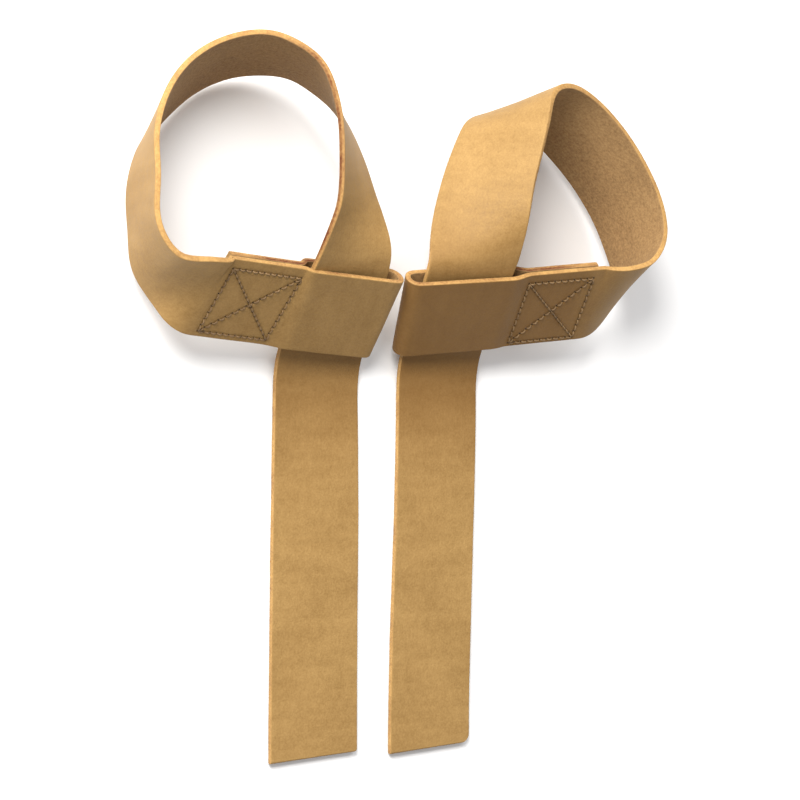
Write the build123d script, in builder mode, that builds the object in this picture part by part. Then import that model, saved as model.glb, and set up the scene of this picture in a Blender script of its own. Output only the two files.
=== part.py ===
"""A pair of leather lifting straps lying on a table, each looped through its own sewn sleeve.

One strap is a single 1.5 inch leather strip. Its end is folded back on itself and sewn with a
boxed cross, which makes a flat sleeve. The other end passes up through the sleeve, so the strip
makes a wrist loop that can be drawn larger or smaller, and a free tail to wind around a bar.
X runs to the right, Y up along the tails, Z up from the table, all in millimetres.
"""

import os
from math import atan2, cos, degrees, hypot, radians, sin

from build123d import *

# The leather strip
WIDTH = 38.0
THICK = 2.4
GAP = 0.3
CUT = 0.3

# The sleeve lies on a slope across the tail, and its strip is turned a little within that slope
SLOPE = 41.0
TURN = 7.0
MOUTH_Y = 20.0
MOUTH_Z = 6.0
SLEEVE_PITCH = THICK + GAP
FLARE_LOW = 0.6
FLARE_HIGH = 0.2
PINCH = 0.15
STRAND_RUN = 40.0

# The tail lies flat from its end to a bend of constant radius below the sleeve
BEND_RADIUS = (MOUTH_Z - THICK / 2) / (1 - cos(radians(SLOPE)))
BEND_Y = MOUTH_Y - BEND_RADIUS * sin(radians(SLOPE))
LEFT_TAIL_END = -133.9
RIGHT_TAIL_END = -131.5
END_SLANT = 2.5
FLEX_Y = -22.5
LEFT_TAIL_CORNER = 1.3
RIGHT_TAIL_CORNER = 4.0

# The seam
STITCH_PITCH = 2.9
STITCH_LENGTH = 2.2
THREAD_WIDTH = 0.8
THREAD_HEIGHT = 0.4
SEAM_INSET = 4.4
SEAM_MARGIN = 1.6

# Where each strap lies, how far its flat front runs from the strand to the loop, where its back
# layer ends, where its seam starts and ends, and the loop's course from the sleeve's top around
# to the front layer: the strip's middle, with X counted from the strand and away from the other
# strap on the left, and its lean outward from upright. The right strap's course is mirrored.
LEFT_X = -25.3
RIGHT_X = 29.8
LEFT_FRONT = 62.0
RIGHT_FRONT = 60.0
LEFT_BACK = 61.0
RIGHT_BACK = 58.0
LEFT_SEAM = (28.5, 59.0)
RIGHT_SEAM = (27.0, 56.0)
LEFT_LOOP = [
    (-1.6, 70.5, 35.5, -57),
    (-3.9, 91.0, 35.5, -45),
    (-8.8, 110.0, 33.0, -28),
    (-19.4, 122.9, 27.5, -4),
    (-34.4, 127.3, 21.5, 18),
    (-53.8, 122.5, 18.2, 28),
    (-70.2, 110.4, 18.0, 30),
    (-80.0, 95.8, 19.0, 22),
    (-83.2, 78.5, 20.7, 14),
    (-82.4, 61.0, 22.4, 9),
    (-77.4, 47.8, 24.2, -10),
    (-68.0, 41.2, 25.1, -29),
]
RIGHT_LOOP = [
    (-0.2, 68.0, 33.0, -52),
    (-4.4, 82.0, 31.2, -39),
    (-11.0, 95.5, 28.4, -32),
    (-17.4, 107.0, 25.8, -22),
    (-25.3, 114.5, 22.4, 5),
    (-37.3, 115.0, 19.6, 18),
    (-47.0, 109.3, 18.6, 24),
    (-58.2, 101.0, 18.8, 24),
    (-69.6, 89.6, 19.2, 20),
    (-78.4, 75.0, 20.2, 14),
    (-81.6, 60.3, 22.2, 2),
    (-79.0, 48.8, 24.4, -16),
    (-69.6, 42.0, 25.5, -35),
]
SECTIONS_PER_STATION = 3
END_STEP = 20.0
HALVINGS = 40

UP = Vector(0, 0, 1)
UPHILL = Vector(0, cos(radians(SLOPE)), sin(radians(SLOPE)))
OUTWARD = Vector(0, -sin(radians(SLOPE)), cos(radians(SLOPE)))


def upright_axes(heading, side):
    """The level direction out of the loop, and the upward one, both square to the heading."""
    outward = heading.cross(UP).normalized() * side
    return outward, outward.cross(heading).normalized() * side


def sleeve_axes(side):
    """The directions along the sewn strip and across it, within the sleeve's slope."""
    across = Vector(side, 0, 0)
    turn = radians(TURN)
    return across * cos(turn) - UPHILL * sin(turn), across * sin(turn) + UPHILL * cos(turn)


def loop_stations(side, mouth, front, loop):
    """Every station of the loop, with one more beyond each end to set the strip's heading there."""
    along, height = sleeve_axes(side)
    top = mouth + UPHILL * STRAND_RUN
    front_end = mouth + OUTWARD * SLEEVE_PITCH + height * (WIDTH / 2) - along * front
    outward, upright = upright_axes(along, side)
    front_lean = degrees(atan2(height.dot(outward), height.dot(upright)))
    stations = [(Vector(mouth.X + side * x, y, z), lean) for x, y, z, lean in loop]
    first = [(top - UPHILL * END_STEP, -90), (top, -90)]
    last = [(front_end, front_lean), (front_end + along * END_STEP, front_lean)]
    return first + stations + last


def slope_at(stations, index):
    """The change of place and lean per millimetre at a station, from its two neighbours."""
    before, here, after = stations[index - 1], stations[index], stations[index + 1]
    if index == 1:
        return (here[0] - before[0]).normalized(), 0
    if index == len(stations) - 2:
        return (after[0] - here[0]).normalized(), 0
    step_in = (here[0] - before[0]).length
    step_out = (after[0] - here[0]).length
    whole = step_in + step_out
    place = (here[0] - before[0]) * (step_out / step_in / whole)
    place += (after[0] - here[0]) * (step_in / step_out / whole)
    lean = (here[1] - before[1]) * step_out / step_in / whole
    lean += (after[1] - here[1]) * step_in / step_out / whole
    return place, lean


def strip_frame(stations, position, side):
    """Place, heading and width direction at a position counted in stations from the strand's top."""
    last_span = len(stations) - 4
    span = min(int(position), last_span)
    t = position - span
    (start, start_lean), (end, end_lean) = stations[span + 1], stations[span + 2]
    start_slope, start_turn = slope_at(stations, span + 1)
    end_slope, end_turn = slope_at(stations, span + 2)
    step = (end - start).length
    place = start * (2 * t**3 - 3 * t**2 + 1) + end * (3 * t**2 - 2 * t**3)
    place += start_slope * (step * (t**3 - 2 * t**2 + t)) + end_slope * (step * (t**3 - t**2))
    heading = (end - start) * (6 * t - 6 * t**2)
    heading += start_slope * (step * (3 * t**2 - 4 * t + 1)) + end_slope * (step * (3 * t**2 - 2 * t))
    lean = start_lean * (2 * t**3 - 3 * t**2 + 1) + end_lean * (3 * t**2 - 2 * t**3)
    lean += step * (start_turn * (t**3 - 2 * t**2 + t) + end_turn * (t**3 - t**2))
    heading = heading.normalized()
    outward, upright = upright_axes(heading, side)
    width = upright * cos(radians(lean)) + outward * sin(radians(lean))
    return place, heading, width


def top_position(stations, side):
    """The position where the strip runs square to the slope, halfway around the loop."""
    low, high = 2.0, len(stations) - 6.0
    for _ in range(HALVINGS):
        middle = (low + high) / 2
        if strip_frame(stations, middle, side)[1].dot(UPHILL) > 0:
            low = middle
        else:
            high = middle
    return low


def strip_loft(stations, start, finish, side, start_gap, finish_gap):
    """The strip between two positions, as a loft through its own cross-sections."""
    count = max(2, round((finish - start) * SECTIONS_PER_STATION))
    sections = []
    for index in range(count + 1):
        position = start + (finish - start) * index / count
        place, heading, width = strip_frame(stations, position, side)
        if index == 0:
            place += heading * start_gap
        if index == count:
            place -= heading * finish_gap
        with BuildSketch(Plane(origin=place, x_dir=width, z_dir=heading)) as section:
            Rectangle(WIDTH, THICK)
        sections.append(section.sketch)
    loft(sections, ruled=True)


def bend_sector(start, finish):
    """The strip's edge-on outline along a stretch of the bend below the sleeve."""
    centre = (BEND_Y, THICK / 2 + BEND_RADIUS)
    with BuildLine() as outline:
        under = CenterArc(centre, BEND_RADIUS + THICK / 2, start - 90, finish - start)
        over = CenterArc(centre, BEND_RADIUS - THICK / 2, start - 90, finish - start)
        Line(under @ 0, over @ 0)
        Line(under @ 1, over @ 1)
    make_face(outline.edges())


def hairpin(side, front, back, flat_start, strand_edge, fold, flare):
    """The sleeve's outline seen along the strip's width: front layer, fold, back layer."""
    inner = THICK / 2 + GAP
    lift = inner + flare
    pinched = inner - PINCH
    with BuildLine() as outline:
        Polyline(
            (-front, inner * -side),
            (-front, (inner + THICK) * -side),
            (-flat_start, (inner + THICK) * -side),
            (-strand_edge, (lift + THICK) * -side),
            (fold, (lift + THICK) * -side),
        )
        ThreePointArc(
            (fold, (lift + THICK) * -side),
            (fold + (lift + inner) / 2 + THICK, flare / 2 * -side),
            (fold, (inner + THICK) * side),
        )
        Polyline(
            (fold, (inner + THICK) * side),
            (-strand_edge, (inner + THICK) * side),
            (-flat_start, (pinched - THICK) * -side),
            (-back, (pinched - THICK) * -side),
            (-back, pinched * -side),
            (-flat_start, pinched * -side),
            (-strand_edge, inner * side),
            (fold, inner * side),
        )
        ThreePointArc(
            (fold, inner * side),
            (fold + (lift + inner) / 2, flare / 2 * -side),
            (fold, lift * -side),
        )
        Polyline(
            (fold, lift * -side),
            (-strand_edge, lift * -side),
            (-flat_start, inner * -side),
            (-front, inner * -side),
        )
    make_face(outline.edges())


def seam_places(seam):
    """Middle and turn of every stitch: the box around the seam, then its two diagonals."""
    start, finish = seam
    low, high = SEAM_INSET, WIDTH - SEAM_INSET
    corners = [(-start, low), (-start, high), (-finish, high), (-finish, low)]
    runs = [(corners[i], corners[(i + 1) % 4]) for i in range(4)]
    runs += [(corners[0], corners[2]), (corners[1], corners[3])]
    places = []
    for (x0, y0), (x1, y1) in runs:
        length = hypot(x1 - x0, y1 - y0)
        count = round(length / STITCH_PITCH)
        turn = degrees(atan2(y1 - y0, x1 - x0))
        for stitch in range(count):
            share = (stitch + 0.5) / count
            places.append((x0 + (x1 - x0) * share, y0 + (y1 - y0) * share, turn))
    return places


def make_strap(name, side, x, front, back, seam, loop, tail_end, corner):
    """The labelled parts of one strap."""
    along, height = sleeve_axes(side)
    mouth = Vector(x, MOUTH_Y, MOUTH_Z)
    stations = loop_stations(side, mouth, front, loop)
    finish = len(stations) - 3
    top = top_position(stations, side)
    middle = Plane.YZ.offset(x - WIDTH / 2)
    flat_start = seam[0] - SEAM_MARGIN

    with BuildPart() as sleeve:
        with BuildSketch(Plane(origin=mouth, x_dir=along, z_dir=height)):
            hairpin(side, front, back, flat_start, WIDTH / 2 + GAP, WIDTH / 2, FLARE_LOW)
        with BuildSketch(Plane(origin=mouth + height * WIDTH, x_dir=along, z_dir=height)):
            drift = WIDTH * sin(radians(TURN))
            strand_edge = WIDTH / 2 + drift + GAP
            hairpin(side, front, back, flat_start, strand_edge, WIDTH / 2 - drift, FLARE_HIGH)
        loft(ruled=True)

    with BuildPart() as half_loop:
        strip_loft(stations, top, finish, side, CUT / 2, 0)

    with BuildPart() as strand:
        strip_loft(stations, 0, top, side, 0, CUT / 2)
        with BuildSketch(middle):
            half_cut = degrees(CUT / 2 / BEND_RADIUS)
            bend_sector(SLOPE / 2 + half_cut, SLOPE)
        extrude(amount=WIDTH)
        with BuildSketch(Plane(origin=mouth, x_dir=(1, 0, 0), z_dir=UPHILL)):
            Rectangle(WIDTH, THICK)
        extrude(amount=STRAND_RUN)

    with BuildPart() as tail_bend:
        with BuildSketch(middle):
            bend_sector(0, SLOPE / 2 - half_cut)
            with BuildLine():
                Polyline(
                    (FLEX_Y + CUT / 2, 0),
                    (BEND_Y, 0),
                    (BEND_Y, THICK),
                    (FLEX_Y + CUT / 2, THICK),
                    close=True,
                )
            make_face()
        extrude(amount=WIDTH)

    with BuildPart() as tail:
        with BuildSketch(Plane.XY):
            with BuildLine():
                Polyline(
                    (x - WIDTH / 2, FLEX_Y - CUT / 2),
                    (x + WIDTH / 2, FLEX_Y - CUT / 2),
                    (x + WIDTH / 2, tail_end + END_SLANT),
                    (x - WIDTH / 2, tail_end),
                    close=True,
                )
            make_face()
        extrude(amount=THICK)
        end_corners = tail.edges().filter_by(Axis.Z).sort_by(Axis.Y)[:2].sort_by(Axis.X)
        fillet(end_corners[1], corner)

    front_face = mouth + OUTWARD * (SLEEVE_PITCH + THICK / 2)
    back_face = mouth + OUTWARD * (SLEEVE_PITCH - THICK * 1.5 - PINCH)
    threads = []
    for face, facing in ((front_face, OUTWARD), (back_face, -OUTWARD)):
        plane = Plane(origin=face, x_dir=along, z_dir=facing)
        flip = 1 if plane.y_dir.dot(height) > 0 else -1
        with BuildPart() as thread:
            with BuildSketch(plane):
                for p, q, turn in seam_places(seam):
                    with Locations(Location((p, q * flip, 0), (0, 0, turn * flip))):
                        SlotOverall(STITCH_LENGTH, THREAD_WIDTH)
            extrude(amount=THREAD_HEIGHT)
        threads.append(thread.part)

    parts = {
        "sleeve": sleeve.part,
        "loop": half_loop.part,
        "strand": strand.part,
        "tail_bend": tail_bend.part,
        "tail": tail.part,
        "needle_thread": threads[0],
        "bobbin_thread": threads[1],
    }
    for piece, shape in parts.items():
        shape.label = f"{name}_{piece}"
    return list(parts.values())


left = make_strap(
    "left",
    1,
    LEFT_X,
    LEFT_FRONT,
    LEFT_BACK,
    LEFT_SEAM,
    LEFT_LOOP,
    LEFT_TAIL_END,
    LEFT_TAIL_CORNER,
)
right = make_strap(
    "right",
    -1,
    RIGHT_X,
    RIGHT_FRONT,
    RIGHT_BACK,
    RIGHT_SEAM,
    RIGHT_LOOP,
    RIGHT_TAIL_END,
    RIGHT_TAIL_CORNER,
)

os.makedirs("parts", exist_ok=True)
for shape in left + right:
    export_step(shape, f"parts/{shape.label}.step")
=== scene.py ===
import math

import bpy
import numpy as np
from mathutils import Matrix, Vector


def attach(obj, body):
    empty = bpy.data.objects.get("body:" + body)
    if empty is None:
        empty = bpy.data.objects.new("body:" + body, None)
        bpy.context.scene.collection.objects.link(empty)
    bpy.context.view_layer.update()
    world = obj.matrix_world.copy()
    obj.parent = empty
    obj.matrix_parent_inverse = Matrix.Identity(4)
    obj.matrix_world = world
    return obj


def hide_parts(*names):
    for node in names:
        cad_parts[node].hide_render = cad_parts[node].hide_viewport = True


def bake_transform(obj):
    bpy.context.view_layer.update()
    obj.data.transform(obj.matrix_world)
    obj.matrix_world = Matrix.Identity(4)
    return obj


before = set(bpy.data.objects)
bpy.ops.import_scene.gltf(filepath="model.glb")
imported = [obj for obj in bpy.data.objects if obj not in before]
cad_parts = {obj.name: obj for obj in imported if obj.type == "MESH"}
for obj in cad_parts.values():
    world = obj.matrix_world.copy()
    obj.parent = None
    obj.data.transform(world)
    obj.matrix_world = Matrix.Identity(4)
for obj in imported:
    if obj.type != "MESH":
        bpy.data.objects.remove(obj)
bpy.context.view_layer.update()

# The table and the light. A plain pale table top, one broad soft lamp high on the left towards
# the loops, a weaker one from the right, and an even white surround.
TABLE_SIZE = 6.0
TABLE_COLOUR = (0.86, 0.86, 0.87, 1.0)
MIDDLE = Vector((0.0156, 0.0015, 0.0))
SURROUND_STRENGTH = 0.55
LAMPS = [
    ("window_lamp", (-0.72, 0.68, 0.78), 0.75, 29.5, (1.0, 0.985, 0.95)),
    ("far_lamp", (0.35, 0.95, 1.0), 0.9, 6.0, (1.0, 0.98, 0.96)),
]

table_mesh = bpy.data.meshes.new("table_top")
half = TABLE_SIZE / 2
table_mesh.from_pydata(
    [(-half, -half, -0.0003), (half, -half, -0.0003), (half, half, -0.0003), (-half, half, -0.0003)],
    [],
    [(0, 1, 2, 3)],
)
table = bpy.data.objects.new("table_top", table_mesh)
bpy.context.scene.collection.objects.link(table)
table_paint = bpy.data.materials.new("table_paint")
table_paint.use_nodes = True
paint = table_paint.node_tree.nodes["Principled BSDF"]
paint.inputs["Base Color"].default_value = TABLE_COLOUR
paint.inputs["Roughness"].default_value = 0.8
paint.inputs["Specular IOR Level"].default_value = 0.1
table_mesh.materials.append(table_paint)

for lamp_name, place, size, power, colour in LAMPS:
    lamp_data = bpy.data.lights.new(lamp_name, "AREA")
    lamp_data.shape = "DISK"
    lamp_data.size = size
    lamp_data.energy = power
    lamp_data.color = colour
    lamp = bpy.data.objects.new(lamp_name, lamp_data)
    lamp.location = place
    lamp.rotation_euler = (MIDDLE - Vector(place)).to_track_quat("-Z", "Y").to_euler()
    bpy.context.scene.collection.objects.link(lamp)

surround = bpy.data.worlds.new("surround")
surround.use_nodes = True
surround.node_tree.nodes["Background"].inputs["Color"].default_value = (1.0, 1.0, 1.0, 1.0)
surround.node_tree.nodes["Background"].inputs["Strength"].default_value = SURROUND_STRENGTH
bpy.context.scene.world = surround
bpy.context.scene.view_settings.view_transform = "Standard"

# The camera looks down across the straps from the side where the wrist loops open, so the
# tails run straight down its picture.
CAMERA_TILT = math.radians(34)
CAMERA_DISTANCE = 1.3
CAMERA_LENS = 153.9

camera_data = bpy.data.cameras.new("camera")
camera_data.lens = CAMERA_LENS
camera_data.sensor_width = 36
camera = bpy.data.objects.new("camera", camera_data)
away = Vector((-math.sin(CAMERA_TILT), 0, math.cos(CAMERA_TILT)))
camera.location = MIDDLE + away * CAMERA_DISTANCE
camera.rotation_euler = (0, -CAMERA_TILT, 0)
bpy.context.scene.collection.objects.link(camera)
bpy.context.scene.camera = camera

# The leather. Each strap is one strip of vegetable-tanned cowhide, smooth and satin on the grain
# side, rough and a little darker on the flesh side, with raw knife-cut edges that are golden
# where the fibres show and red-brown where the tanning liquor has soaked in.
GRAIN_LIGHT = (0.400, 0.244, 0.088, 1.0)
GRAIN_DARK = (0.222, 0.122, 0.035, 1.0)
# The dark tan that paints the sleeve's shade onto the tail, and darkens the sewn end and the strand.
SHADE_AND_TAN_COLOUR = (0.135, 0.056, 0.010, 1.0)
FLESH_LIGHT = (0.400, 0.245, 0.105, 1.0)
FLESH_DARK = (0.180, 0.098, 0.040, 1.0)
EDGE_GOLD = (0.520, 0.310, 0.105, 1.0)
EDGE_RED = (0.120, 0.032, 0.012, 1.0)
# Near-black painted into the needle holes: painted shade.
HOLE_SHADE = (0.030, 0.016, 0.008, 1.0)
MOTTLE_PER_MM = 0.34
PEBBLE_PER_MM = 1.1
FIBRE_PER_MM = 0.9
STREAK_PER_MM = 0.16
CLOUD_PER_MM = 0.035
SOAK_PER_MM = 0.11
PORES_PER_MM = 1.3
STREAK_SQUEEZE = 260.0
TO_MM = (1000.0, 1000.0, 1000.0)


def add_node(tree, kind, settings=(), inputs=()):
    """A new node, with its own settings and the values of its sockets."""
    node = tree.nodes.new(kind)
    for field, value in dict(settings).items():
        setattr(node, field, value)
    for socket, value in dict(inputs).items():
        node.inputs[socket].default_value = value
    return node


def mix_colours(tree, share, first, second):
    """Mixes two colours, each of them a socket or a plain colour, by a share from 0 to 1."""
    mix = add_node(tree, "ShaderNodeMix", {"data_type": "RGBA"})
    tree.links.new(share, mix.inputs["Factor"])
    for socket, value in ((mix.inputs[6], first), (mix.inputs[7], second)):
        if isinstance(value, tuple):
            socket.default_value = value
        else:
            tree.links.new(value, socket)
    return mix.outputs[2]


def ramp(tree, value, low, high):
    """Spreads a value between low and high over 0 to 1, and clips the rest."""
    spread = add_node(tree, "ShaderNodeMapRange", {}, {"From Min": low, "From Max": high})
    tree.links.new(value, spread.inputs["Value"])
    return spread.outputs["Result"]


def noise(tree, place, scale, detail, rough=0.55):
    """A noise whose scale is in lumps per millimetre of leather."""
    node = add_node(
        tree,
        "ShaderNodeTexNoise",
        {"noise_dimensions": "3D"},
        {"Scale": scale, "Detail": detail, "Roughness": rough},
    )
    tree.links.new(place, node.inputs["Vector"])
    return node.outputs["Fac"]


def average(tree, parts):
    """The weighted sum of some values."""
    total = None
    for value, weight in parts:
        scaled = add_node(tree, "ShaderNodeMath", {"operation": "MULTIPLY_ADD"}, {1: weight, 2: 0.0})
        tree.links.new(value, scaled.inputs[0])
        if total is not None:
            tree.links.new(total, scaled.inputs[2])
        total = scaled.outputs[0]
    return total


def attribute(tree, name):
    """One of the values that every point of the strip carries."""
    node = add_node(tree, "ShaderNodeAttribute", {"attribute_name": name})
    return node.outputs["Fac"]


leather = bpy.data.materials.new("veg_tanned_leather")
leather.use_nodes = True
tree = leather.node_tree
skin = tree.nodes["Principled BSDF"]
skin.inputs["Specular IOR Level"].default_value = 0.2
skin.inputs["Sheen Weight"].default_value = 0.02
skin.inputs["Sheen Roughness"].default_value = 0.5

strip_map = add_node(tree, "ShaderNodeUVMap", {"uv_map": "strip"})
to_mm = add_node(tree, "ShaderNodeMapping", {}, {"Scale": TO_MM})
tree.links.new(strip_map.outputs["UV"], to_mm.inputs["Vector"])
place_mm = to_mm.outputs["Vector"]
stretched = add_node(tree, "ShaderNodeMapping", {}, {"Scale": (1000.0, STREAK_SQUEEZE, 1000.0)})
tree.links.new(strip_map.outputs["UV"], stretched.inputs["Vector"])

mottle = ramp(tree, noise(tree, place_mm, MOTTLE_PER_MM, 4.0), 0.34, 0.66)
speckle = ramp(tree, noise(tree, place_mm, PEBBLE_PER_MM, 3.0, 0.7), 0.30, 0.70)
streak = ramp(tree, noise(tree, stretched.outputs["Vector"], STREAK_PER_MM, 3.0), 0.35, 0.68)
cloud = ramp(tree, noise(tree, place_mm, CLOUD_PER_MM, 2.0), 0.36, 0.64)
fibres = ramp(tree, noise(tree, place_mm, FIBRE_PER_MM, 5.0, 0.75), 0.36, 0.62)

grain_share = average(tree, [(mottle, 0.20), (speckle, 0.42), (streak, 0.22), (cloud, 0.16)])
plain_grain = mix_colours(tree, grain_share, GRAIN_DARK, GRAIN_LIGHT)
# Painted shade: the grain is mixed towards a dark tan below the sleeve's mouth, where the sleeve
# shades the tail; the sewn end and the strand's top are darkened the same way.
shade_and_tan_share = average(tree, [(attribute(tree, "sleeve_shade_and_tan"), 0.80)])
grain_colour = mix_colours(tree, shade_and_tan_share, plain_grain, SHADE_AND_TAN_COLOUR)
flesh_share = average(tree, [(fibres, 0.55), (mottle, 0.25), (cloud, 0.20)])
flesh_colour = mix_colours(tree, flesh_share, FLESH_DARK, FLESH_LIGHT)
side_colour = mix_colours(tree, attribute(tree, "flesh"), grain_colour, flesh_colour)
red_noise = ramp(tree, noise(tree, place_mm, SOAK_PER_MM, 4.0, 0.7), 0.42, 0.62)
red_share = average(tree, [(red_noise, 0.35), (attribute(tree, "soaked"), 0.75)])
edge_patch = average(tree, [(fibres, 0.35), (red_share, 0.75)])
edge_colour = mix_colours(tree, edge_patch, EDGE_GOLD, EDGE_RED)
# The cut edges' colour over the side colour, which carries the painted shade near the sleeve.
edge_and_shade_colour = mix_colours(tree, attribute(tree, "cut_edge"), side_colour, edge_colour)
# The needle holes are painted near-black: painted shade in the holes.
final_colour = mix_colours(tree, attribute(tree, "hole"), edge_and_shade_colour, HOLE_SHADE)
tree.links.new(final_colour, skin.inputs["Base Color"])

gloss = average(tree, [(mottle, 0.10), (speckle, 0.12), (attribute(tree, "flesh"), 0.22)])
dull = add_node(tree, "ShaderNodeMath", {"operation": "ADD"}, {1: 0.46})
tree.links.new(gloss, dull.inputs[0])
tree.links.new(dull.outputs[0], skin.inputs["Roughness"])
pores = add_node(
    tree,
    "ShaderNodeTexVoronoi",
    {"feature": "F1"},
    {"Scale": PORES_PER_MM, "Randomness": 1.0},
)
tree.links.new(place_mm, pores.inputs["Vector"])
pore_depth = ramp(tree, pores.outputs["Distance"], 0.0, 0.5)
bump_height = average(tree, [(pore_depth, 0.35), (speckle, 0.35), (fibres, 0.30)])
bump = add_node(tree, "ShaderNodeBump", {}, {"Strength": 0.6, "Distance": 0.00014})
tree.links.new(bump_height, bump.inputs["Height"])
tree.links.new(bump.outputs["Normal"], skin.inputs["Normal"])

# The relief of the leather is cut into its surface: pebbled grain, coarser flesh, fuzzy cut
# edges, and the long soft waves of a hide that has been rolled up and laid flat again.
GRAIN_DEPTH = 0.00006
FLESH_DEPTH = 0.00016
EDGE_FUZZ = 0.00034
HIDE_WAVE = 0.00035
CREASE_DEPTH = 0.00030
CREASE_SQUEEZE = 0.09


def group_input(tree, name, kind, default=None):
    """A named input of a geometry tree."""
    socket = tree.interface.new_socket(name=name, in_out="INPUT", socket_type=kind)
    if default is not None:
        socket.default_value = default
    return socket.identifier


def set_inputs(modifier, values):
    """Sets a tree's inputs on its modifier, each by its socket's own identifier."""
    for item in modifier.node_group.interface.items_tree:
        if item.item_type == "SOCKET" and item.in_out == "INPUT" and item.name in values:
            modifier[item.identifier] = values[item.name]


def finish_tree(tree, geometry, material_socket):
    """Realises what the tree made, gives it its material and puts it out."""
    realise = tree.nodes.new("GeometryNodeRealizeInstances")
    paint = tree.nodes.new("GeometryNodeSetMaterial")
    out = tree.nodes.new("NodeGroupOutput")
    tree.links.new(geometry, realise.inputs["Geometry"])
    tree.links.new(realise.outputs["Geometry"], paint.inputs["Geometry"])
    tree.links.new(material_socket, paint.inputs["Material"])
    tree.links.new(paint.outputs["Geometry"], out.inputs[0])


def plain_mesh(piece, tree, values):
    """Runs a geometry tree on a piece and keeps the result as the piece's own mesh."""
    modifier = piece.modifiers.new(tree.name, "NODES")
    modifier.node_group = tree
    set_inputs(modifier, values)
    depsgraph = bpy.context.evaluated_depsgraph_get()
    made = bpy.data.meshes.new_from_object(
        piece.evaluated_get(depsgraph), preserve_all_data_layers=True, depsgraph=depsgraph
    )
    piece.modifiers.remove(modifier)
    made.name = piece.name
    piece.data = made


relief = bpy.data.node_groups.new("leather_relief", "GeometryNodeTree")
relief.interface.new_socket(name="Geometry", in_out="OUTPUT", socket_type="NodeSocketGeometry")
group_input(relief, "Geometry", "NodeSocketGeometry")
group_input(relief, "Grain Depth", "NodeSocketFloat", GRAIN_DEPTH)
group_input(relief, "Flesh Depth", "NodeSocketFloat", FLESH_DEPTH)
group_input(relief, "Edge Fuzz", "NodeSocketFloat", EDGE_FUZZ)
group_input(relief, "Hide Wave", "NodeSocketFloat", HIDE_WAVE)
group_input(relief, "Crease Depth", "NodeSocketFloat", CREASE_DEPTH)
group_input(relief, "Leather", "NodeSocketMaterial")
given = relief.nodes.new("NodeGroupInput")
strip_place = add_node(relief, "GeometryNodeInputNamedAttribute", {"data_type": "FLOAT_VECTOR"})
strip_place.inputs["Name"].default_value = "strip_place"
cross_place = add_node(relief, "ShaderNodeVectorMath", {"operation": "MULTIPLY"})
cross_place.inputs[1].default_value = (1.0, CREASE_SQUEEZE, 1.0)
relief.links.new(strip_place.outputs[0], cross_place.inputs[0])
total = None
for depth_name, masks, pattern, scale, detail in (
    ("Grain Depth", ["lively"], strip_place, 0.9, 4.0),
    ("Flesh Depth", ["flesh", "lively"], strip_place, 0.7, 5.0),
    ("Edge Fuzz", ["cut_edge", "lively"], strip_place, 1.1, 4.0),
    ("Hide Wave", ["wavy"], strip_place, 0.045, 1.0),
    ("Crease Depth", ["creased", "lively"], cross_place, 0.55, 2.0),
):
    lumps = noise(relief, pattern.outputs[0], scale, detail)
    centred = add_node(relief, "ShaderNodeMath", {"operation": "SUBTRACT"}, {1: 0.5})
    relief.links.new(lumps, centred.inputs[0])
    deep = add_node(relief, "ShaderNodeMath", {"operation": "MULTIPLY"})
    relief.links.new(centred.outputs[0], deep.inputs[0])
    relief.links.new(given.outputs[depth_name], deep.inputs[1])
    height = deep.outputs[0]
    for mask in masks:
        masked = add_node(relief, "ShaderNodeMath", {"operation": "MULTIPLY"})
        where = add_node(relief, "GeometryNodeInputNamedAttribute", {"data_type": "FLOAT"})
        where.inputs["Name"].default_value = mask
        relief.links.new(height, masked.inputs[0])
        relief.links.new(where.outputs[0], masked.inputs[1])
        height = masked.outputs[0]
    if total is not None:
        both = add_node(relief, "ShaderNodeMath", {"operation": "ADD"})
        relief.links.new(total, both.inputs[0])
        relief.links.new(height, both.inputs[1])
        height = both.outputs[0]
    total = height
normal = relief.nodes.new("GeometryNodeInputNormal")
along_normal = add_node(relief, "ShaderNodeVectorMath", {"operation": "SCALE"})
relief.links.new(normal.outputs[0], along_normal.inputs[0])
relief.links.new(total, along_normal.inputs["Scale"])
moved = relief.nodes.new("GeometryNodeSetPosition")
relief.links.new(given.outputs["Geometry"], moved.inputs["Geometry"])
relief.links.new(along_normal.outputs[0], moved.inputs["Offset"])
smooth = relief.nodes.new("GeometryNodeSetShadeSmooth")
relief.links.new(moved.outputs["Geometry"], smooth.inputs["Geometry"])
finish_tree(relief, smooth.outputs["Geometry"], given.outputs["Leather"])

# The strips' courses, in millimetres. A strip lies flat from its cut end to a bend, climbs a
# slope through its own sleeve, goes round the wrist loop standing on edge, and comes back along
# the sleeve's front. Each course is the strip's middle line with the direction of its width.
MM = 0.001
WIDTH = 38.0
THICK = 2.4
SLOPE = math.radians(41)
TURN = math.radians(7)
MOUTH_Y = 20.0
MOUTH_Z = 6.0
STRAND_RUN = 40.0
LAYER_PITCH = 2.7
BEND_RADIUS = (MOUTH_Z - THICK / 2) / (1 - math.cos(SLOPE))
BEND_Y = MOUTH_Y - BEND_RADIUS * math.sin(SLOPE)
FINE_STEP = 0.25
SOFTENING = 18
UP = np.array([0.0, 0.0, 1.0])
UPHILL = np.array([0.0, math.cos(SLOPE), math.sin(SLOPE)])
OUTWARD = np.array([0.0, -math.sin(SLOPE), math.cos(SLOPE)])
SEAM_OVERLAP = 1.5
SWAY_FADE = 24.0
TWIST_LEAD = 45.0
TWIST_INSIDE = 20.0
TWIST_FADE = 22.0
STEADY_END = 16.0
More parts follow.
